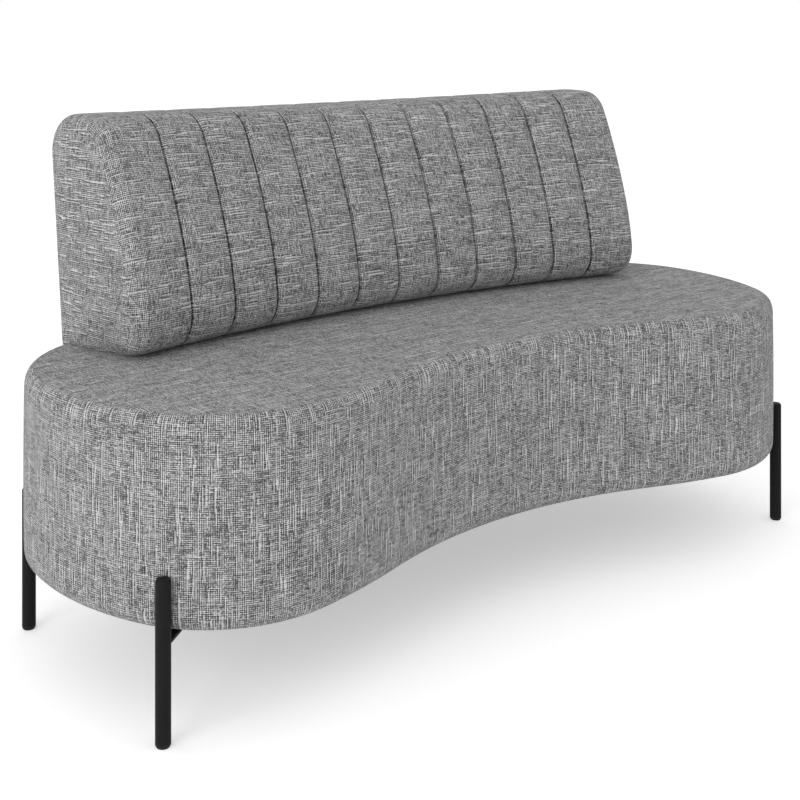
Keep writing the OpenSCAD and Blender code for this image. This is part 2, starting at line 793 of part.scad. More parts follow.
leg(0, -1);  // leg_front_left
leg(0, 1);  // leg_front_right
leg(1, -1);  // leg_rear_left
leg(1, 1);  // leg_rear_right
leg_cap(0, -1);  // leg_cap_front_left
leg_cap(0, 1);  // leg_cap_front_right
leg_cap(1, -1);  // leg_cap_rear_left
leg_cap(1, 1);  // leg_cap_rear_right
foot(0, -1);  // foot_front_left
foot(0, 1);  // foot_front_right
foot(1, -1);  // foot_rear_left
foot(1, 1);  // foot_rear_right
leg_plate(0, -1);  // leg_plate_front_left
leg_plate(0, 1);  // leg_plate_front_right
leg_plate(1, -1);  // leg_plate_rear_left
leg_plate(1, 1);  // leg_plate_rear_right
plate_screws();
dust_cover();
base_board();
top_frame();
middle_rail();
seat_post(-1, 0);  // seat_post_1
seat_post(-1, 1);  // seat_post_2
seat_post(-1, 2);  // seat_post_3
seat_post(1, 0);  // seat_post_4
seat_post(1, 1);  // seat_post_5
seat_post(1, 2);  // seat_post_6
side_skin();
side_foam();
webbing_strap(-1, 3);  // webbing_strap_1
webbing_strap(-1, 2);  // webbing_strap_2
webbing_strap(-1, 1);  // webbing_strap_3
webbing_strap(-1, 0);  // webbing_strap_4
webbing_strap(1, 0);  // webbing_strap_5
webbing_strap(1, 1);  // webbing_strap_6
webbing_strap(1, 2);  // webbing_strap_7
webbing_strap(1, 3);  // webbing_strap_8
seat_foam();
seat_cover();
spacer_block(block_turns[0]);  // spacer_block_1
spacer_block(block_turns[1]);  // spacer_block_2
spacer_block(block_turns[2]);  // spacer_block_3
spacer_block(block_turns[3]);  // spacer_block_4
back_bolts();
back_washers();
back_t_nuts();
back_bottom_rail();
back_top_rail();
back_rib(rib_turns[0]);  // back_rib_1
back_rib(rib_turns[1]);  // back_rib_2
back_rib(rib_turns[2]);  // back_rib_3
back_rib(rib_turns[3]);  // back_rib_4
back_rib(rib_turns[4]);  // back_rib_5
back_front_panel();
back_rear_panel();
back_foam();
back_wadding();
back_end_pad(-1);  // back_end_pad_left
back_end_pad(1);  // back_end_pad_right
back_cover();
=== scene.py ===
import math
import bpy
import numpy as np
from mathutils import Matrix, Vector
from mathutils.geometry import delaunay_2d_cdt


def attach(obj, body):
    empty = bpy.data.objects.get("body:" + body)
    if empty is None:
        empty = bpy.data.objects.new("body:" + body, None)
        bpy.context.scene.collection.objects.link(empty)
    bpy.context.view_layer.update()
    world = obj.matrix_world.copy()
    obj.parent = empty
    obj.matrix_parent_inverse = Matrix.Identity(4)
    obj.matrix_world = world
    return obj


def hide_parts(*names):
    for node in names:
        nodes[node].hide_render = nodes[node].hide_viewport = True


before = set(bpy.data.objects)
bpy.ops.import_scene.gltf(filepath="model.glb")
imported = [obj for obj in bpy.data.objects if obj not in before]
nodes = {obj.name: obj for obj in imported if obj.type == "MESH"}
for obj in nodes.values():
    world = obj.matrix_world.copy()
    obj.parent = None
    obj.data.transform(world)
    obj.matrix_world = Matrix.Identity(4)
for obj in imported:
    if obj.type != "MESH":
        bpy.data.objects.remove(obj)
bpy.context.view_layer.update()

# Legs
# Four straight steel tubes, 20 mm thick, with pressed caps on top. Each is welded to a flat
# plate that is screwed up into the base. Sandblasted, powder coated black and baked.


def linear(code):
    """A hex colour as a screen shows it, turned to the linear colour that shaders use."""
    parts = [int(code[i:i + 2], 16) / 255 for i in (1, 3, 5)]
    return (*[p / 12.92 if p <= 0.04045 else ((p + 0.055) / 1.055) ** 2.4 for p in parts], 1)


def add(tree, kind, settings=None, links=None):
    """Adds a node, sets its values and joins its inputs to other nodes' outputs. An input goes
    by its name, or by its number where the node has several of one name."""
    made = tree.nodes.new(kind)
    for key, value in (settings or {}).items():
        if isinstance(key, int) or key in made.inputs:
            made.inputs[key].default_value = value
        else:
            setattr(made, key, value)
    for key, source in (links or {}).items():
        tree.links.new(source, made.inputs[key])
    return made


def new_material(name):
    """An empty node material with its output, and its tree."""
    made = bpy.data.materials.new(name)
    made.use_nodes = True
    made.node_tree.nodes.clear()
    return made, made.node_tree


def finish_material(tree, shader):
    """Joins the finished shader to the material's output."""
    add(tree, "ShaderNodeOutputMaterial", {}, {"Surface": shader})


def coat(names, material):
    """Gives CAD nodes their material."""
    for name in names:
        nodes[name].data.materials.clear()
        nodes[name].data.materials.append(material)
        for face in nodes[name].data.polygons:
            face.material_index = 0


# Powder coated steel: a satin black skin with a fine orange peel, which softens the highlight
black_steel, tree = new_material("powder_coated_steel")
place = add(tree, "ShaderNodeNewGeometry").outputs["Position"]
peel_size, cloud_size = 0.0011, 0.035
peel = add(tree, "ShaderNodeTexNoise", {"Scale": 1 / peel_size, "Detail": 2.0}, {"Vector": place})
cloud = add(tree, "ShaderNodeTexNoise", {"Scale": 1 / cloud_size, "Detail": 3.0}, {"Vector": place})
shade = add(tree, "ShaderNodeMix", {"data_type": "RGBA", 6: linear("#1f1f20"), 7: linear("#252526")},
            {0: cloud.outputs["Fac"]})
gloss = add(tree, "ShaderNodeMapRange", {"To Min": 0.42, "To Max": 0.56},
            {"Value": cloud.outputs["Fac"]})
bump = add(tree, "ShaderNodeBump", {"Strength": 0.12, "Distance": 0.0002},
           {"Height": peel.outputs["Fac"]})
finish_material(tree, add(tree, "ShaderNodeBsdfPrincipled", {
    "IOR": 1.5, "Specular IOR Level": 0.05}, {
    "Base Color": shade.outputs[2], "Roughness": gloss.outputs[0],
    "Normal": bump.outputs[0]}).outputs[0])
corners = ("front_left", "front_right", "rear_left", "rear_right")
coat([f"{part}_{c}" for part in ("leg", "leg_cap", "leg_plate") for c in corners], black_steel)

# Glides
# Plugs of polyethylene pressed into the tubes' lower ends, so that the steel doesn't mark
# the floor. Injection moulded black, with a fine spark-eroded grain.

# Moulded polyethylene: a matt, slightly waxy black that is greyer than the coating
glide_plastic, tree = new_material("moulded_polyethylene")
place = add(tree, "ShaderNodeNewGeometry").outputs["Position"]
spark_grain = 0.0006
grain = add(tree, "ShaderNodeTexNoise", {"Scale": 1 / spark_grain, "Detail": 3.0}, {"Vector": place})
shade = add(tree, "ShaderNodeMix", {"data_type": "RGBA", 6: linear("#0d0d0e"), 7: linear("#151516")},
            {0: grain.outputs["Fac"]})
bump = add(tree, "ShaderNodeBump", {"Strength": 0.2, "Distance": 0.0001},
           {"Height": grain.outputs["Fac"]})
finish_material(tree, add(tree, "ShaderNodeBsdfPrincipled", {
    "IOR": 1.51, "Roughness": 0.6, "Specular IOR Level": 0.25}, {
    "Base Color": shade.outputs[2], "Normal": bump.outputs[0]}).outputs[0])
coat([f"foot_{c}" for c in corners], glide_plastic)

# Screws, bolts, washers and T-nuts
# Steel hardware that holds the plates to the base and the backrest to the seat's frame.
# Cold forged, then zinc plated and passivated to a pale blue grey.

# Zinc plated steel: a bright metal with faint cloudy blotches from the passivation
zinc_steel, tree = new_material("zinc_plated_steel")
place = add(tree, "ShaderNodeNewGeometry").outputs["Position"]
blotch_size = 0.004
blotch = add(tree, "ShaderNodeTexNoise", {"Scale": 1 / blotch_size, "Detail": 4.0}, {"Vector": place})
shade = add(tree, "ShaderNodeMix", {"data_type": "RGBA", 6: linear("#b4b8be"), 7: linear("#c9c8bd")},
            {0: blotch.outputs["Fac"]})
gloss = add(tree, "ShaderNodeMapRange", {"To Min": 0.25, "To Max": 0.42},
            {"Value": blotch.outputs["Fac"]})
finish_material(tree, add(tree, "ShaderNodeBsdfPrincipled", {"Metallic": 1.0}, {
    "Base Color": shade.outputs[2], "Roughness": gloss.outputs[0]}).outputs[0])
coat(["plate_screws", "back_bolts", "back_washers", "back_t_nuts"], zinc_steel)

# Plywood boards, ribs and skins
# The seat's base and top frame, the bent skin round its side, and the backrest's rails, ribs
# and bent panels. Rotary-cut birch veneers 1.4 mm thick, glued in crossed layers, left raw.

# Sawn birch plywood: pale brown with long faint grain, and dark and light plies at the edges
plywood, tree = new_material("sawn_birch_plywood")
place = add(tree, "ShaderNodeNewGeometry").outputs["Position"]
ply = 0.0014
grain_along, grain_across = 6.0, 90.0    # changes of tone in a metre
grain_space = add(tree, "ShaderNodeMapping", {"Scale": (grain_along, grain_across, 1 / ply)},
                  {"Vector": place})
grain = add(tree, "ShaderNodeTexNoise", {"Scale": 1.0, "Detail": 5.0},
            {"Vector": grain_space.outputs[0]})
shade = add(tree, "ShaderNodeMix", {"data_type": "RGBA", 6: linear("#b98f5e"), 7: linear("#dcc196")},
            {0: grain.outputs["Fac"]})
bump = add(tree, "ShaderNodeBump", {"Strength": 0.2, "Distance": 0.0003},
           {"Height": grain.outputs["Fac"]})
finish_material(tree, add(tree, "ShaderNodeBsdfPrincipled", {"Roughness": 0.62, "IOR": 1.5}, {
    "Base Color": shade.outputs[2], "Normal": bump.outputs[0]}).outputs[0])
ribs = [f"back_rib_{i}" for i in range(1, 6)]
coat(["base_board", "top_frame", "side_skin", "back_bottom_rail", "back_top_rail",
      "back_front_panel", "back_rear_panel", *ribs], plywood)

# Timber rail, posts and blocks
# The rail and the posts carry the top frame above the base, and the blocks take the bolts'
# load through the foam. Softwood, sawn to size, planed and left raw.

# Planed pine: yellowish, with wandering bands of darker late wood about 22 mm apart, as on a
# board sawn flat through the rings
timber, tree = new_material("planed_pine")
place = add(tree, "ShaderNodeNewGeometry").outputs["Position"]
rings_space = add(tree, "ShaderNodeMapping", {"Scale": (4.0, 1.0, 1.0)}, {"Vector": place})
rings = add(tree, "ShaderNodeTexWave", {
    "Scale": 14.0, "Distortion": 6.0, "Detail": 2.0, "bands_direction": "Y"},
    {"Vector": rings_space.outputs[0]})
shade = add(tree, "ShaderNodeMix", {"data_type": "RGBA", 6: linear("#c99f68"), 7: linear("#e3c797")},
            {0: rings.outputs["Fac"]})
bump = add(tree, "ShaderNodeBump", {"Strength": 0.15, "Distance": 0.0002},
           {"Height": rings.outputs["Fac"]})
finish_material(tree, add(tree, "ShaderNodeBsdfPrincipled", {"Roughness": 0.55, "IOR": 1.5}, {
    "Base Color": shade.outputs[2], "Normal": bump.outputs[0]}).outputs[0])
coat(["middle_rail", *[f"seat_post_{i}" for i in range(1, 7)],
      *[f"spacer_block_{i}" for i in range(1, 5)]], timber)

# Foam and wadding
# Cut polyurethane foam on the seat, round its side and over the backrest, and a layer of
# bonded polyester wadding behind. Both are glued to the wood and hidden by the covers.

# Cut polyurethane foam: matt cream with open cells about 1.5 mm wide
foam, tree = new_material("cut_polyurethane_foam")
place = add(tree, "ShaderNodeNewGeometry").outputs["Position"]
cell_size = 0.0015
cells = add(tree, "ShaderNodeTexVoronoi", {"Scale": 1 / cell_size}, {"Vector": place})
shade = add(tree, "ShaderNodeMix", {"data_type": "RGBA", 6: linear("#cfc08f"), 7: linear("#ece2bd")},
            {0: cells.outputs["Distance"]})
bump = add(tree, "ShaderNodeBump", {"Strength": 0.5, "Distance": 0.0006},
           {"Height": cells.outputs["Distance"]})
finish_material(tree, add(tree, "ShaderNodeBsdfPrincipled", {"Roughness": 0.95, "IOR": 1.45}, {
    "Base Color": shade.outputs[2], "Normal": bump.outputs[0]}).outputs[0])
coat(["seat_foam", "side_foam", "back_foam", "back_end_pad_left", "back_end_pad_right"], foam)

# Bonded polyester wadding: off-white matted fibres that scatter light softly
wadding, tree = new_material("bonded_polyester_wadding")
place = add(tree, "ShaderNodeNewGeometry").outputs["Position"]
tuft_size = 0.004
fibres = add(tree, "ShaderNodeTexNoise", {
    "Scale": 1 / tuft_size, "Detail": 8.0, "Distortion": 2.0}, {"Vector": place})
shade = add(tree, "ShaderNodeMix", {"data_type": "RGBA", 6: linear("#d8d7d1"), 7: linear("#f2f1ec")},
            {0: fibres.outputs["Fac"]})
bump = add(tree, "ShaderNodeBump", {"Strength": 0.6, "Distance": 0.001},
           {"Height": fibres.outputs["Fac"]})
finish_material(tree, add(tree, "ShaderNodeBsdfPrincipled", {"Roughness": 1.0, "IOR": 1.45}, {
    "Base Color": shade.outputs[2], "Normal": bump.outputs[0]}).outputs[0])
coat(["back_wadding"], wadding)

# Elastic webbing
# Eight straps stretched across the opening of the top frame under the seat foam, stapled at
# both ends. Woven polypropylene with rubber threads, black with a grey stripe.

# Woven elastic strap: fine cross ribs 2 mm apart with pale stripes along it
webbing, tree = new_material("woven_elastic_strap")
place = add(tree, "ShaderNodeNewGeometry").outputs["Position"]
band_scale = 0.314        # a Wave texture of this scale has bands one metre apart
rib_space, stripe_space = 0.002, 0.02
weave = add(tree, "ShaderNodeTexWave", {
    "Scale": band_scale / rib_space, "Distortion": 0.4, "bands_direction": "Y"}, {"Vector": place})
stripe = add(tree, "ShaderNodeTexWave", {
    "Scale": band_scale / stripe_space, "bands_direction": "X"}, {"Vector": place})
shade = add(tree, "ShaderNodeMix", {"data_type": "RGBA", 6: linear("#2a2c30"), 7: linear("#5c6068")},
            {0: stripe.outputs["Fac"]})
bump = add(tree, "ShaderNodeBump", {"Strength": 0.5, "Distance": 0.0004},
           {"Height": weave.outputs["Fac"]})
finish_material(tree, add(tree, "ShaderNodeBsdfPrincipled", {"Roughness": 0.8, "IOR": 1.48}, {
    "Base Color": shade.outputs[2], "Normal": bump.outputs[0]}).outputs[0])
coat([f"webbing_strap_{i}" for i in range(1, 9)], webbing)

# Seat cover
# One skin of melange upholstery cloth over the foam: a kidney-shaped top, and a side band with
# upright slubs that is sewn to it inside the rounded edge, pulled under and stapled.

# The outline's right half, from the middle of the hollow front: radius, heading at the arc's
# end and straight run after it, in millimetres and degrees
outline = [(-742.861, -20.3, 0), (930, -10.9, 0), (209, 62.4, 0), (402, 95.1, 0),
           (228, 159.1, 0), (1479.089, 180, 0)]
seat_front = -223.8
seat_low, seat_high = 132.0, 406.0
side_proud = 0.3          # the cloth stands this far outside the CAD's side at half height
side_bulge = 1.4          # and curves in by this much to the top and to the bottom
edge_in, edge_drop = 12.8, 22.4        # the rounded upper edge
hem_in, hem_rise = 26.5, 22.6          # the rounded lower edge
crown_drop, crown_run = 0.6, 50.0      # the top is this much lower at its edge, and rises over this
flange = 36.0             # the part turned in and stapled under the base
top_seam = 13.0           # from the side to the seam between band and top
top_rings = (3, 8, 14, 21, 29, 38)     # rings of points on the top, from the rounded edge inwards
hem_steps, edge_steps = 8, 10


def trace(start, path, step):
    """Points, headings and distances along arcs and straight runs, about one step apart."""
    p, h, rows = np.array(start, float), 0.0, []
    rows.append((*p, h))
    for radius, stop, run in path:
        turn = math.radians(stop) - h
        middle = p + radius * np.array([-math.sin(h), math.cos(h)])
        count = max(2, round(abs(radius * turn) / step))
        for a in h + turn * np.arange(1, count + 1) / count:
            rows.append((*(middle + radius * np.array([math.sin(a), -math.cos(a)])), a))
        p, h = np.array(rows[-1][:2]), h + turn
        if run > 0:
            count = max(1, round(run / step))
            for share in np.arange(1, count + 1) / count:
                rows.append((*(p + run * share * np.array([math.cos(h), math.sin(h)])), h))
            p = np.array(rows[-1][:2])
    rows = np.array(rows)
    far = np.concatenate([[0], np.cumsum(np.linalg.norm(np.diff(rows[:, :2], axis=0), axis=1))])
    return rows[:, :2], rows[:, 2], far


def bean(step):
    """The seat's whole outline: points, outward directions and distances round it."""
    p, h, far = trace((0, seat_front), outline, step)
    out = np.stack([np.sin(h), -np.cos(h)], 1)
    flip = np.array([-1, 1])
    p = np.vstack([p, (p * flip)[-2:0:-1]])
    out = np.vstack([out, (out * flip)[-2:0:-1]])
    return p, out, np.concatenate([far, 2 * far[-1] - far[-2:0:-1]]), 2 * far[-1]


def fill(ring, step):
    """Points spread inside a closed line, and the triangles that join them to it and each other."""
    low, high = ring.min(0), ring.max(0)
    rows = np.arange(low[1] + step / 2, high[1], step * 0.866)
    spots = np.array([(x + (i % 2) * step / 2, y) for i, y in enumerate(rows)
                      for x in np.arange(low[0] - step, high[0] + step, step)])
    a, b = ring, np.roll(ring, -1, 0)
    d = b - a
    rel = spots[:, None] - a[None]
    t = np.clip((rel * d).sum(2) / (d * d).sum(1), 0, 1)
    near = np.linalg.norm(rel - t[..., None] * d, axis=2).min(1)
    crosses = (a[:, 1] > spots[:, 1:]) != (b[:, 1] > spots[:, 1:])
    with np.errstate(divide="ignore", invalid="ignore"):
        at = a[:, 0] + (spots[:, 1:] - a[:, 1]) * d[:, 0] / d[:, 1]
    inside = ((spots[:, :1] < at) & crosses).sum(1) % 2 == 1
    spots = spots[inside & (near > step * 0.6)]
    flat = [Vector(p) for p in np.vstack([ring, spots])]
    found = delaunay_2d_cdt(flat, [], [list(range(len(ring)))], 1, 1e-5)
    back = [ids[0] for ids in found[3]]
    return spots, [[back[v] for v in face] for face in found[2]]


def make_mesh(name, points, faces, threads):
    """A mesh object from points in millimetres. Each face corner keeps its place on the cloth."""
    mesh = bpy.data.meshes.new(name)
    mesh.from_pydata((points / 1000).tolist(), [], faces)
    layer = mesh.uv_layers.new(name="threads")
    layer.data.foreach_set("uv", (np.concatenate(threads) / 1000).astype(np.float32).ravel())
    mesh.polygons.foreach_set("use_smooth", [True] * len(faces))
    mesh.validate()
    made = bpy.data.objects.new(name, mesh)
    bpy.context.scene.collection.objects.link(made)
    return made


def swell(piece, hold, pressure, cap):
    """Blows the cloth up a little where it isn't held, as packed foam does, and gives each
    point's move in millimetres, capped. The cloth is simulated on a copy."""
    frames = 20
    copy = piece.copy()
    copy.data = piece.data.copy()
    bpy.context.scene.collection.objects.link(copy)
    held = copy.vertex_groups.new(name="held")
    for i, weight in enumerate(hold):
        held.add([i], float(weight), "REPLACE")
    cloth = copy.modifiers.new("cloth", "CLOTH")
    cloth.settings.quality = 5
    cloth.settings.mass = 0.3
    cloth.settings.tension_stiffness = 12
    cloth.settings.compression_stiffness = 12
    cloth.settings.shear_stiffness = 5
    cloth.settings.bending_stiffness = 0.4
    cloth.settings.use_pressure = True
    cloth.settings.uniform_pressure_force = pressure
    cloth.settings.vertex_group_mass = "held"
    cloth.settings.pin_stiffness = 1.0
    cloth.settings.effector_weights.gravity = 0
    cloth.collision_settings.use_collision = False
    cloth.point_cache.frame_start, cloth.point_cache.frame_end = 1, frames
    for f in range(1, frames + 1):
        bpy.context.scene.frame_set(f)
    graph = bpy.context.evaluated_depsgraph_get()
    shown = copy.evaluated_get(graph)
    after = np.zeros(len(copy.data.vertices) * 3, np.float32)
    shown.data.vertices.foreach_get("co", after)
    before = np.zeros_like(after)
    copy.data.vertices.foreach_get("co", before)
    move = (after - before).reshape(-1, 3).astype(float) * 1000
    bpy.data.objects.remove(copy)
    bpy.context.scene.frame_set(1)
    size = np.linalg.norm(move, axis=1, keepdims=True) + 1e-9
    print("swell", piece.name, "largest", size.max().round(2), "mean", size.mean().round(2))
    return move * cap * np.tanh(size / cap) / size


def seat_section(step):
    """Insets and heights from the stapled flange up the side to the first ring of the top."""
    rows = [(hem_in + flange * s, seat_low) for s in (1, 0.66, 0.33)]
    for a in np.linspace(90, 0, hem_steps + 1):
        a = math.radians(a)
        rows.append((hem_in * (1 - math.cos(a)), seat_low + hem_rise * (1 - math.sin(a))))
    low, high = seat_low + hem_rise, seat_high - crown_drop - edge_drop
    count = round((high - low) / step)
    rows += [(0, low + (high - low) * k / count) for k in range(1, count + 1)]
    for a in np.linspace(0, 90, edge_steps + 1)[1:]:
        a = math.radians(a)
        rows.append((edge_in * (1 - math.cos(a)), high + edge_drop * math.sin(a)))
    rows += [(edge_in + run, seat_high - crown_drop) for run in top_rings]
    rows = np.array(rows)
    middle, half = (seat_low + seat_high) / 2, (seat_high - seat_low) / 2
    rows[:, 0] += side_bulge * np.clip(np.abs(rows[:, 1] - middle) / half, 0, 1) ** 2 - side_proud
    return rows


def crown(e):
    """Height that the top still lacks at inset e below its highest level, taken from the edge's."""
    share = np.clip((e - edge_in - side_bulge + side_proud) / crown_run, 0, 1)
    return crown_drop * (1 - (1 - share) ** 2)


cloth_step, fill_step = 9.0, 13.0
top_rows = len(top_rings) + 1
ring, out, far, round_length = bean(cloth_step)
rows = seat_section(cloth_step)
n, m = len(ring), len(rows)
points = np.empty((m, n, 3))
for j, (e, z) in enumerate(rows):
    points[j, :, :2] = ring - e * out
    points[j, :, 2] = z + (crown(e) if j >= m - top_rows else 0)
climb = np.concatenate([[0], np.cumsum(np.linalg.norm(np.diff(rows, axis=0), axis=1))])
seam_row = int(np.argmin(np.abs(rows[m - top_rows:, 0] - top_seam))) + m - top_rows
faces, threads = [], []
around = np.append(far, round_length)
for j in range(m - 1):
    for i in range(n):
        k = (i + 1) % n
        quad = [j * n + i, j * n + k, (j + 1) * n + k, (j + 1) * n + i]
        faces.append(quad)
        if j < seam_row:
            threads.append(np.array([(around[i], climb[j]), (around[i + 1], climb[j]),
                                     (around[i + 1], climb[j + 1]), (around[i], climb[j + 1])]))
        else:
            threads.append(points.reshape(-1, 3)[quad][:, [1, 0]])
inner = points[-1, :, :2]
spots, triangles = fill(inner, fill_step)
e_spots = np.linalg.norm(spots[:, None] - ring[None], axis=2).min(1)
tops = np.column_stack([spots, seat_high - crown_drop + crown(e_spots)])
base = (m - 1) * n
points = np.vstack([points.reshape(-1, 3), tops])
for face in triangles:
    ids = [base + v for v in face]
    faces.append(ids)
    threads.append(points[ids][:, [1, 0]])
seat_cloth = make_mesh("seat_cover_cloth", points, faces, threads)

# The cloth is glued to the foam, so it is held everywhere but gives a little; the flange and
# the part under the backrest stay where they are
glued, flange_rows = 0.35, 4
most_rise = 0.2           # the cloth lies on the foam, so it may stand only this far above it
hold = np.full(len(points), glued)
hold[:flange_rows * n] = 1
move = swell(seat_cloth, hold, pressure=4.0, cap=0.8)
# The backrest stands on the top behind an arc, whose radius and middle these are
back_r, back_mid_y = 2196.0, -2075.6
curve_y = back_mid_y + np.sqrt(back_r ** 2 - points[:, 0] ** 2)
margin, under_half = 12, 545
under = points[:, 2] > seat_high - margin
under &= points[:, 1] > curve_y - margin
under &= np.abs(points[:, 0]) < under_half
move[under] = 0
points = points + move
points[:, 2] = np.clip(points[:, 2], seat_low, seat_high + most_rise)
seat_cloth.data.vertices.foreach_set("co", (points / 1000).astype(np.float32).ravel())

# Melange tweed: plain-woven yarns of black, grey and off-white fibres. Pale slubs run along one
# set of yarns, each beside a darker yarn. Matt, with a faint bloom where the light grazes it.
tweed, tree = new_material("woven_melange_tweed")
yarn = 0.0014             # metres from one slubbed yarn to the next
pick = 0.0013             # metres from a crossing over a yarn to the next one over it
slub_long, band_long, short_long, patch_long = 0.042, 0.05, 0.009, 0.02
band_wide, patch_wide = 5, 4           # numbers of yarns
shown_crossing = 0.26     # share of a pick where the crossing yarn lies on top
lane_gap = 7.31           # sets the tones of neighbouring yarns apart in the noise
place = add(tree, "ShaderNodeUVMap", {"uv_map": "threads"}).outputs[0]
parts = add(tree, "ShaderNodeSeparateXYZ", {}, {0: place}).outputs


def calculate(kind, a, b=None):
    """One step of arithmetic on two sockets or numbers."""
    made = add(tree, "ShaderNodeMath", {"operation": kind})
    for slot, value in enumerate((a, b)):
        if isinstance(value, (int, float)):
            made.inputs[slot].default_value = value
        elif value is not None:
            tree.links.new(value, made.inputs[slot])
    return made.outputs[0]


def tone(lane, run, length, seed, low, high):
    """Fibre tone that changes along a yarn over the given length and differs from yarn to yarn,
    with its middle range opened out to 0..1."""
    at = add(tree, "ShaderNodeCombineXYZ", {2: seed}, {0: calculate("MULTIPLY", lane, lane_gap),
                                                      1: calculate("DIVIDE", run, length)})
    noise = add(tree, "ShaderNodeTexNoise", {"Scale": 1.0, "Detail": 0.0}, {"Vector": at.outputs[0]})
    opened = add(tree, "ShaderNodeMapRange", {"From Min": low, "From Max": high},
                 {"Value": noise.outputs[0]})
    return opened.outputs[0]


def weigh(start, *terms):
    """Adds each tone's distance from the middle, times its weight."""
    total = start
    for value, weight in terms:
        from_middle = calculate("SUBTRACT", value, 0.5)
        total = calculate("ADD", total, calculate("MULTIPLY", from_middle, weight))
    return total


def alternate(number, run, seed):
    """Light and dark threads in turn, which fade in and out in patches a few threads wide."""
    odd = calculate("GREATER_THAN", calculate("FRACT", calculate("MULTIPLY", number, 0.5)), 0.25)
    lane = calculate("FLOOR", calculate("DIVIDE", number, patch_wide))
    patch = tone(lane, run, patch_long, seed, low=0.25, high=0.6)
    return calculate("ADD", 0.5, calculate("MULTIPLY", calculate("SUBTRACT", odd, 0.5), patch))


across = calculate("DIVIDE", parts[0], yarn)
yarn_no, yarn_in = calculate("FLOOR", across), calculate("FRACT", across)
along = calculate("DIVIDE", parts[1], pick)
pick_no, pick_in = calculate("FLOOR", along), calculate("FRACT", along)
cell = add(tree, "ShaderNodeCombineXYZ", {}, {0: yarn_no, 1: pick_no}).outputs[0]
fleck = add(tree, "ShaderNodeTexWhiteNoise", {}, {"Vector": cell}).outputs["Value"]
pale_slub = tone(yarn_no, parts[1], slub_long, seed=3.7, low=0.65, high=0.72)
beside = tone(calculate("ADD", yarn_no, 1), parts[1], slub_long, seed=3.7, low=0.65, high=0.72)
band_no = calculate("FLOOR", calculate("DIVIDE", yarn_no, band_wide))
band = tone(band_no, parts[1], band_long, seed=31.3, low=0.35, high=0.65)
yarns = alternate(yarn_no, parts[1], seed=11.9)
picks = alternate(pick_no, parts[0], seed=17.9)
short = tone(pick_no, parts[0], short_long, seed=41.7, low=0.35, high=0.65)
crossing = tone(pick_no, parts[0], slub_long, seed=23.9, low=0.6, high=0.7)
slubbed = weigh(0.71, (pale_slub, 0.75), (beside, -0.35), (fleck, 0.4), (yarns, 0.5),
                (picks, 0.38), (band, 0.12), (short, 0.18))
crossed = weigh(0.7, (crossing, 0.5), (fleck, 0.4), (picks, 0.38), (short, 0.18))
on_top = calculate("GREATER_THAN", pick_in, shown_crossing)
tone_here = add(tree, "ShaderNodeMix", {"data_type": "FLOAT"}, {0: on_top, 2: crossed, 3: slubbed})
ramp = add(tree, "ShaderNodeValToRGB", {}, {"Fac": tone_here.outputs[0]})
stops = ramp.color_ramp.elements
stops[0].position, stops[0].color = 0.1, linear("#2c2c2e")
stops[1].position, stops[1].color = 0.9, linear("#dedddd")
stops.new(0.5).color = linear("#757475")
# Painted shade: the cloth's colour is darkened towards near black along each sewn seam, where the
# cloth turns deep into the foam and next to no light comes out
seam_shade_strength = 0.5
painted_seam_shade = add(tree, "ShaderNodeAttribute", {"attribute_name": "painted_seam_shade"}).outputs["Fac"]
shade = add(tree, "ShaderNodeMix", {"data_type": "RGBA", 7: linear("#1b1b1c")},
            {0: calculate("MULTIPLY", painted_seam_shade, seam_shade_strength), 6: ramp.outputs[0]})
round_yarn = calculate("SINE", calculate("MULTIPLY", yarn_in, math.pi))
bump = add(tree, "ShaderNodeBump", {"Strength": 0.5, "Distance": 0.0003}, {
    "Height": calculate("ADD", calculate("MULTIPLY", on_top, 0.4), round_yarn)})
finish_material(tree, add(tree, "ShaderNodeBsdfPrincipled", {
    "Roughness": 0.92, "IOR": 1.46, "Specular IOR Level": 0.2,
    "Sheen Weight": 0.08, "Sheen Roughness": 0.5},
    {"Base Color": shade.outputs[2], "Normal": bump.outputs[0]}).outputs[0])


cover_thick = 0.0012      # metres


def soften(piece, thickness=None):
    """Rounds the mesh with one subdivision, and gives an open skin the cloth's thickness."""
    piece.modifiers.new("round", "SUBSURF").levels = 1
    piece.modifiers["round"].render_levels = 1
    if thickness:
        solid = piece.modifiers.new("thick", "SOLIDIFY")
        solid.thickness, solid.offset = thickness, -1


seat_cloth.data.materials.append(tweed)
soften(seat_cloth, cover_thick)
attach(seat_cloth, "root")
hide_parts("seat_cover")

# Backrest cover
# Melange cloth quilted to foam in twelve upright channels that run up the front, over the top
# and down the rear, with plain end panels. It is pulled under the backrest and stapled.
channel, channels = 86.0, 12
seam_count = channels - 1
end_reach, end_run = 533.6, 60.0       # half the length, and the stretch that shapes each end
end_round = 21.5
corner_turn = 82.0        # the rounded corner turns this far, the crowned end panel the rest
end_tuck, tuck_high = 18.0, 30.0       # an end tucks in by this at the seat, up to this height
tuck_back, tuck_fade = 100.0, 90.0     # no tuck further back than this, and it fades over this
corner_hang, hang_high = 7.0, 30.0     # the rear corners sag past the seat's rounded edge
hang_run, hang_from, hang_fade = 30.0, 118.0, 20.0
spread_share = 0.553      # 0 keeps the section straight back along the arc, 1 turns it with it
back_low, back_high = 406.3, 340.6
end_rise = 8.1            # the ends' tops stand this much higher than the middle
heel_lean = 84.0
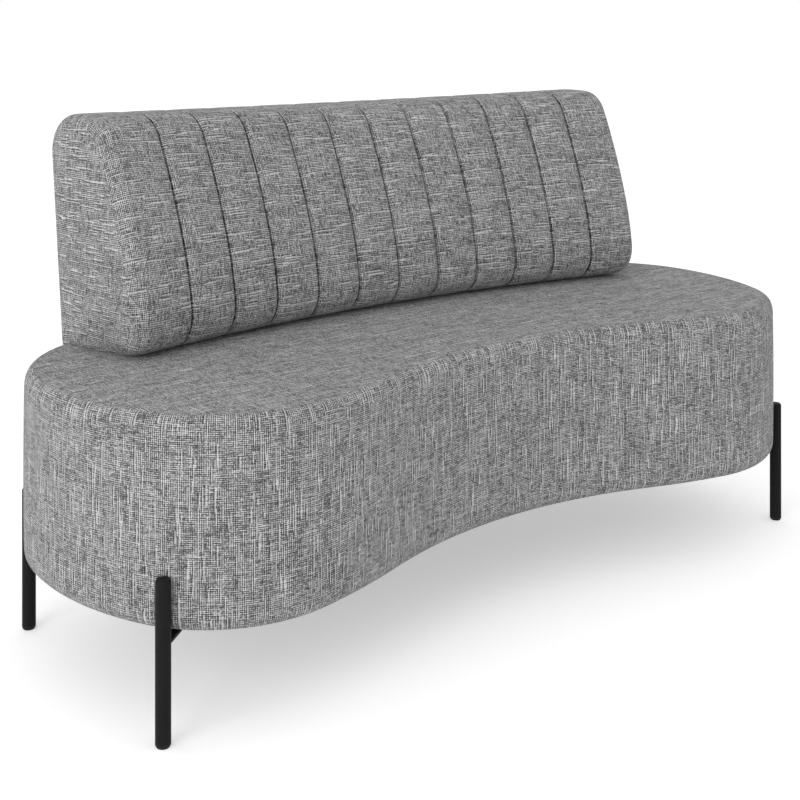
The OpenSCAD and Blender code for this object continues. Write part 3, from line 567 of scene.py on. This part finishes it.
# The section from the rear heel up, over the top and down the front to the rounded foot:
# radius, heading at the arc's end and straight run after it
section_start, section_step = (158.67, 0), 8.0
section_path = [(4, heel_lean, 274.8), (57, 180, 48.5), (59.5, 242.3, 0), (1038, 251.4, 0),
                (503, 262.6, 0), (54, 360, 0)]
crown_height = 7.0        # a channel stands out this far between its seams
channel_square = 5        # more would make its middle flatter and its sides steeper
groove_depth, groove_half, groove_wall = 1.95, 2.3, 0.8
least_pull = 0.45         # share of that depth where the channels hardly swell
seam_shade_half, seam_shade_fade = 2.2, 0.8        # painted seam shade reaches this far from a seam, with a soft edge
seam_half = 1.5           # the sewn allowance on each side of a seam, where nothing swells
foot_high, foot_fade = 55.0, 12.0      # the rounded foot, and where its swelling sets in


def back_place(s, d, z):
    """A point from its distance along the backrest, behind the contact line, and above the seat.
    The ends tuck in at the front where they meet the seat, and hang a little at the rear."""
    near_end = np.clip((np.abs(s) - end_reach + end_run) / end_run, 0, 1)
    tuck = end_tuck * near_end * np.clip((tuck_back - d) / tuck_fade, 0, 1)
    hang = corner_hang * np.clip((np.abs(s) - end_reach + hang_run) / hang_fade, 0, 1)
    hang = hang * np.clip((d - hang_from) / hang_fade, 0, 1)
    s = s - np.sign(s) * tuck * np.clip(1 - z / tuck_high, 0, 1) ** 2
    turn = s / back_r
    x = (back_r + spread_share * d) * np.sin(turn)
    y = back_mid_y + np.sqrt(back_r ** 2 - x ** 2) + d
    up = z + end_rise * (s / end_reach) ** 2 * z / back_high - hang * np.clip(1 - z / hang_high, 0, 1)
    return np.stack([x, y, back_low + up], -1)


section, heading, _ = trace(section_start, section_path, section_step)
shift = section[-1] / (len(section) - 1)
section = section - np.arange(len(section))[:, None] * shift
base_steps = 18
sole = np.linspace(section[-1, 0], section[0, 0], base_steps + 1)[1:-1]
floor_line = np.stack([sole, np.zeros(base_steps - 1)], 1)
section = np.vstack([section, floor_line])
heading = np.append(heading, np.full(base_steps - 1, 2 * math.pi))
section_out = np.stack([np.sin(heading), -np.cos(heading)], 1)
# Near the seat the section is set in only sideways, so that its lower edge stays on the seat
up_share = np.clip(section[:, 1] / foot_high, 0, 1)
section_in = section_out * np.stack([np.ones(len(section)), up_share], 1)
heel_in = 1 / math.sin(math.radians(heel_lean))
section_in[heading < math.radians(heel_lean) - 0.01] = (heel_in, 0)
section_in[heading > math.radians(section_path[-2][1]), 0] = -1
section_in[-(base_steps - 1):, 0] = -1 + (1 + heel_in) * np.arange(1, base_steps) / base_steps
section_far = np.concatenate([[0], np.cumsum(np.linalg.norm(np.diff(section, axis=0), axis=1))])
section_length = section_far[-1] + np.linalg.norm(section[0] - section[-1])
rows_n = len(section)
bottom = section[:, 1] < 0.5
# A channel swells most where it faces forward, half as much at the rear, and hardly on top
fullness = np.where(section_out[:, 0] < 0, -section_out[:, 0], 0.5 * section_out[:, 0])
fullness = np.maximum(0.1, fullness) * ~bottom * np.clip(section[:, 1] / foot_fade, 0, 1)
corner_steps = 8


def columns(offsets):
    """Columns along the backrest: place, inset of the section, distance over the cloth, and the
    distance to the nearest seam. The last columns turn round the corners."""
    seams = (np.arange(seam_count) - (seam_count - 1) / 2) * channel
    flat_end = end_reach - end_round
    places = set()
    for seam in seams:
        for o in offsets:
            for side in (-1, 1):
                p = round(seam + side * o, 4)
                if abs(p) <= flat_end:
                    places.add(p)
    for o in offsets:
        p = round(seams[-1] + channel - o, 4)
        if seams[-1] + channel / 2 < p < flat_end - 1:
            places.update((p, -p))
    places.update((flat_end, -flat_end))
    s = np.array(sorted(places))
    a = np.radians(np.linspace(0, corner_turn, corner_steps + 1))[1:]
    corner_s, corner_e = flat_end + end_round * np.sin(a), end_round * (1 - np.cos(a))
    all_s = np.concatenate([-corner_s[::-1], s, corner_s])
    all_e = np.concatenate([corner_e[::-1], np.zeros(len(s)), corner_e])
    over = np.concatenate([-flat_end - end_round * a[::-1], s, flat_end + end_round * a])
    to_seam = np.abs(over[:, None] - seams[None]).min(1)
    return all_s, all_e, over, to_seam


def back_grid(all_s, all_e, raise_by):
    """The cover's points, one row per column along it and one per step round the section."""
    grid = np.empty((len(all_s), rows_n, 3))
    for i, (s, e) in enumerate(zip(all_s, all_e)):
        p = section - e * section_in + raise_by[i][:, None] * section_out
        p[:, 1] = np.maximum(p[:, 1], 0)
        grid[i] = back_place(s, p[:, 0], p[:, 1])
    return grid


def swelling(over, to_seam):
    """How far each point stands out over the seams' level, before the groove is sewn in."""
    in_channel = np.clip(1 - (to_seam - seam_half) / (channel / 2 - seam_half), 0, 1)
    shape = (1 - in_channel ** channel_square) ** 0.5
    to_end = np.clip((np.abs(over).max() - np.abs(over)) / end_run, 0, 1)
    return crown_height * np.outer(shape * (1 - (1 - to_end) ** 2), fullness)


def back_mesh(name, over, grid, end_fill):
    """Joins the columns into a closed cover with its two end panels."""
    count = len(over)
    points, faces, threads = grid.reshape(-1, 3), [], []
    up = np.append(section_far, section_length)
    for i in range(count - 1):
        for j in range(rows_n):
            k = (j + 1) % rows_n
            faces.append([i * rows_n + j, i * rows_n + k, (i + 1) * rows_n + k, (i + 1) * rows_n + j])
            threads.append(np.array([(up[j], over[i]), (up[j + 1], over[i]),
                                     (up[j + 1], over[i + 1]), (up[j], over[i + 1])]))
    extra, flat, triangles = end_fill
    for side, first in ((-1, 0), (1, (count - 1) * rows_n)):
        start = len(points)
        points = np.vstack([points, extra[0 if side < 0 else 1]])
        for face in triangles:
            ids = [first + v if v < rows_n else start + v - rows_n for v in face]
            cloth = flat[face] * np.array([1, -side]) + np.array([0, side * end_reach])
            faces.append(ids if side > 0 else ids[::-1])
            threads.append(cloth if side > 0 else cloth[::-1])
    return make_mesh(name, points, faces, threads)


# End panels: flat cloth over a foam pad, standing out a little in the middle
end_ring = section - end_round * (1 - math.cos(math.radians(corner_turn))) * section_in
panel_step = 11.0
end_spots, end_triangles = fill(end_ring, panel_step)
gap_to_edge = np.linalg.norm(end_spots[:, None] - end_ring[None], axis=2).min(1)
bulge_run = 50.0          # the panel rises over this distance from its edge
to_edge = np.clip(gap_to_edge / bulge_run, 0, 1)
panel_start = end_reach - end_round * (1 - math.sin(math.radians(corner_turn)))
panel_bulge = bulge_run * math.tan(math.radians(90 - corner_turn)) * (to_edge - to_edge ** 2 / 2)
end_points = [back_place(side * (panel_start + panel_bulge), end_spots[:, 0], end_spots[:, 1])
              for side in (-1, 1)]
end_flat = np.vstack([end_ring, end_spots])[:, [1, 0]]

# The cloth is blown up on a coarser cover with even columns, held at the seams and the foot.
# Its moves are smoothed round the section and carried over to the fine cover.
trial_share, channel_hold, end_hold, hold_high = 0.7, 0.05, 0.6, 15.0
coarse = columns(np.arange(0, channel / 2 + 1, channel / 10))
start_grid = back_grid(coarse[0], coarse[1], trial_share * swelling(coarse[2], coarse[3]))
trial = back_mesh("back_trial", coarse[2], start_grid, (end_points, end_flat, end_triangles))
hold = np.full(len(trial.data.vertices), end_hold)
near_end = np.clip((np.abs(coarse[2]) - end_reach + 2 * end_round) / end_round, 0, 1)
held_here = channel_hold + end_hold * near_end[:, None]
held_here = np.maximum(held_here, 1 - section[None, :, 1] / hold_high)
held_here[coarse[3] < 1] = 1
held_here[:, bottom] = 1
on_grid = held_here.size
hold[:on_grid] = held_here.ravel()
move = swell(trial, hold, pressure=4.0, cap=1.3)
bpy.data.objects.remove(trial)
grid_move = move[:on_grid].reshape(start_grid.shape)
for _ in range(4):
    grid_move = (np.roll(grid_move, 1, 1) + 2 * grid_move + np.roll(grid_move, -1, 1)) / 4
grid_move *= np.clip((end_reach - end_round - np.abs(coarse[2])) / end_run, 0, 1)[:, None, None]
end_move = move[on_grid:].reshape(2, -1, 3) * to_edge[None, :, None] ** 2

# The fine cover has columns close together at each seam, a groove along it, and small puckers
# beside it where the stitches gather the cloth
fine = columns(np.array([0, 0.9, 1.5, 1.9, 2.6, 4.0, 6.5, 10.0, 16.0, 25.0, 34.0, 43.0]))
fine_move = np.stack([[np.interp(fine[2], coarse[2], grid_move[:, j, a]) for a in range(3)]
                      for j in range(rows_n)]).transpose(2, 0, 1)
top_ease, ease_from, ease_run = 0.4, 250, 60      # a groove is shallower over the top
pucker_high, pucker_most, pucker_far, pucker_near = 0.4, 1.5, 12, 3
rng = np.random.default_rng(7)
pucker = rng.normal(size=(len(fine[0]), rows_n))
for _ in range(2):
    pucker = (np.roll(pucker, 1, 1) + 2 * pucker + np.roll(pucker, -1, 1)) / 4
pull = np.clip(least_pull + fullness, 0, 1)
depth = pull * (1 - top_ease * np.clip((section[:, 1] - ease_from) / ease_run, 0, 1))
groove = -groove_depth * np.outer(np.clip((groove_half - fine[3]) / groove_wall, 0, 1), depth)
beside_seam = np.exp(-fine[3] / pucker_far) - np.exp(-fine[3] / pucker_near)
sewn = pucker_high * np.clip(pucker, -pucker_most, pucker_most) * beside_seam[:, None]
sewn = (sewn + groove) * (~bottom)[None]
still = back_grid(fine[0], fine[1], swelling(fine[2], fine[3]) + sewn)
grid = still + fine_move
grid[..., 2] = np.maximum(grid[..., 2], np.minimum(still[..., 2], back_low))
for p, q in zip(end_points, end_move):
    lowest = np.minimum(p[:, 2], back_low)
    p += q
    p[:, 2] = np.maximum(p[:, 2], lowest)
back_cloth = back_mesh("back_cover_cloth", fine[2], grid, (end_points, end_flat, end_triangles))
# Painted shade along the seams, kept in a point attribute that darkens the cloth's colour
seam_shade_share = np.outer(np.clip((seam_shade_half - fine[3]) / seam_shade_fade, 0, 1), pull * ~bottom)
layer = back_cloth.data.attributes.new("painted_seam_shade", "FLOAT", "POINT")
seam_shade_values = np.zeros(len(back_cloth.data.vertices), np.float32)
seam_shade_values[:seam_shade_share.size] = seam_shade_share.ravel()
layer.data.foreach_set("value", seam_shade_values)
back_cloth.data.materials.append(tweed)
soften(back_cloth)
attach(back_cloth, "root")
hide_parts("back_cover")

# Dust cover
# Black non-woven cloth stapled over the underside, so that nothing falls out of the seat.
# Spun polypropylene, bonded with a grid of small dots.
dust_in, dust_z = 38.7, 131.4
edge_step, dust_step = 12.0, 16.0
ring, out, _, _ = bean(edge_step)
edge = ring - dust_in * out
spots, triangles = fill(edge, dust_step)
flat = np.vstack([edge, spots])
points = np.column_stack([flat, np.full(len(flat), dust_z)])
faces = [f[::-1] for f in triangles]
dust_cloth = make_mesh("dust_cover_cloth", points, faces, [flat[f] for f in faces])

# Spun-bonded polypropylene: black and matt with a faint sheen, dots 1.6 mm apart
nonwoven, tree = new_material("spun_bonded_polypropylene")
place = add(tree, "ShaderNodeNewGeometry").outputs["Position"]
dot_space, fibre_size = 0.0016, 0.006
dots = add(tree, "ShaderNodeTexVoronoi", {"Scale": 1 / dot_space, "Randomness": 0.1},
           {"Vector": place})
fibres = add(tree, "ShaderNodeTexNoise", {
    "Scale": 1 / fibre_size, "Detail": 6.0, "Distortion": 1.5}, {"Vector": place})
shade = add(tree, "ShaderNodeMix", {"data_type": "RGBA", 6: linear("#19191b"), 7: linear("#303033")},
            {0: fibres.outputs["Fac"]})
bump = add(tree, "ShaderNodeBump", {"Strength": 0.4, "Distance": 0.0003},
           {"Height": dots.outputs["Distance"]})
finish_material(tree, add(tree, "ShaderNodeBsdfPrincipled", {"Roughness": 0.78, "IOR": 1.49}, {
    "Base Color": shade.outputs[2], "Normal": bump.outputs[0]}).outputs[0])
dust_cloth.data.materials.append(nonwoven)
solid = dust_cloth.modifiers.new("thick", "SOLIDIFY")
cloth_thick = 0.0004
solid.thickness, solid.offset = cloth_thick, 0
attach(dust_cloth, "root")
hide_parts("dust_cover")

# Floor, backdrop and light
# A plain white studio: a wide floor that keeps the sofa's soft shadow, pale light from all
# round, and one large lamp low on the left, as in the photograph.
floor_mesh = bpy.data.meshes.new("floor")
reach = 30.0
floor_corners = [(-reach, -reach, 0), (reach, -reach, 0), (reach, reach, 0), (-reach, reach, 0)]
floor_mesh.from_pydata(floor_corners, [], [(0, 1, 2, 3)])
floor = bpy.data.objects.new("floor", floor_mesh)
bpy.context.scene.collection.objects.link(floor)
paper, tree = new_material("white_paper_floor")
place = add(tree, "ShaderNodeNewGeometry").outputs["Position"]
tooth_size = 0.025
tooth = add(tree, "ShaderNodeTexNoise", {"Scale": 1 / tooth_size, "Detail": 2.0}, {"Vector": place})
shade = add(tree, "ShaderNodeMix", {"data_type": "RGBA", 6: linear("#f6f6f6"), 7: linear("#fafafa")},
            {0: tooth.outputs["Fac"]})
matt = add(tree, "ShaderNodeBsdfDiffuse", {}, {"Color": shade.outputs[2]})
glow = add(tree, "ShaderNodeEmission", {"Color": (1, 1, 1, 1), "Strength": 0.4})
seen = add(tree, "ShaderNodeLightPath")
both = add(tree, "ShaderNodeAddShader", {}, {0: matt.outputs[0], 1: glow.outputs[0]})
for_camera = add(tree, "ShaderNodeMath", {"operation": "MAXIMUM"},
                 {0: seen.outputs["Is Camera Ray"], 1: seen.outputs["Is Glossy Ray"]})
chosen = add(tree, "ShaderNodeMixShader", {},
             {0: for_camera.outputs[0], 1: matt.outputs[0], 2: both.outputs[0]})
finish_material(tree, chosen.outputs[0])
floor_mesh.materials.append(paper)

world = bpy.data.worlds.new("studio")
bpy.context.scene.world = world
world.use_nodes = True
tree = world.node_tree
tree.nodes.clear()
seen = add(tree, "ShaderNodeLightPath")
shown = add(tree, "ShaderNodeMath", {"operation": "MAXIMUM"},
            {0: seen.outputs["Is Camera Ray"], 1: seen.outputs["Is Glossy Ray"]})
shown = add(tree, "ShaderNodeMath", {"operation": "MAXIMUM"},
            {0: shown.outputs[0], 1: seen.outputs["Is Transmission Ray"]})
sky = add(tree, "ShaderNodeBackground", {"Color": (1, 1, 1, 1), "Strength": 1.0})
ambient = add(tree, "ShaderNodeBackground", {"Color": (1, 1, 1, 1), "Strength": 0.76})
mixed = add(tree, "ShaderNodeMixShader", {},
            {0: shown.outputs[0], 1: ambient.outputs[0], 2: sky.outputs[0]})
add(tree, "ShaderNodeOutputWorld", {}, {"Surface": mixed.outputs[0]})


def lamp(name, place, aim, size, power):
    """A large square soft lamp that points at a spot."""
    light = bpy.data.lights.new(name, "AREA")
    light.size, light.energy = size, power
    made = bpy.data.objects.new(name, light)
    made.location = place
    made.rotation_euler = (Vector(aim) - Vector(place)).to_track_quat("-Z", "Y").to_euler()
    bpy.context.scene.collection.objects.link(made)


lamp("left_lamp", place=(-3.8, -1.3, 1.6), aim=(0, 0, 0.35), size=2.2, power=46)

# Camera
# At the photograph's place: level, 0.91 m above the floor, with the lens shifted down.
view = bpy.data.cameras.new("camera")
view.lens, view.sensor_width = 61.56, 36
view.shift_y = -0.488
camera = bpy.data.objects.new("camera", view)
camera.location = (-1.4289, -1.7599, 0.9133)
camera.rotation_euler = (math.radians(90), 0, math.radians(-38.08))
bpy.context.scene.collection.objects.link(camera)
bpy.context.scene.camera = camera
bpy.context.scene.view_settings.view_transform = "Standard"
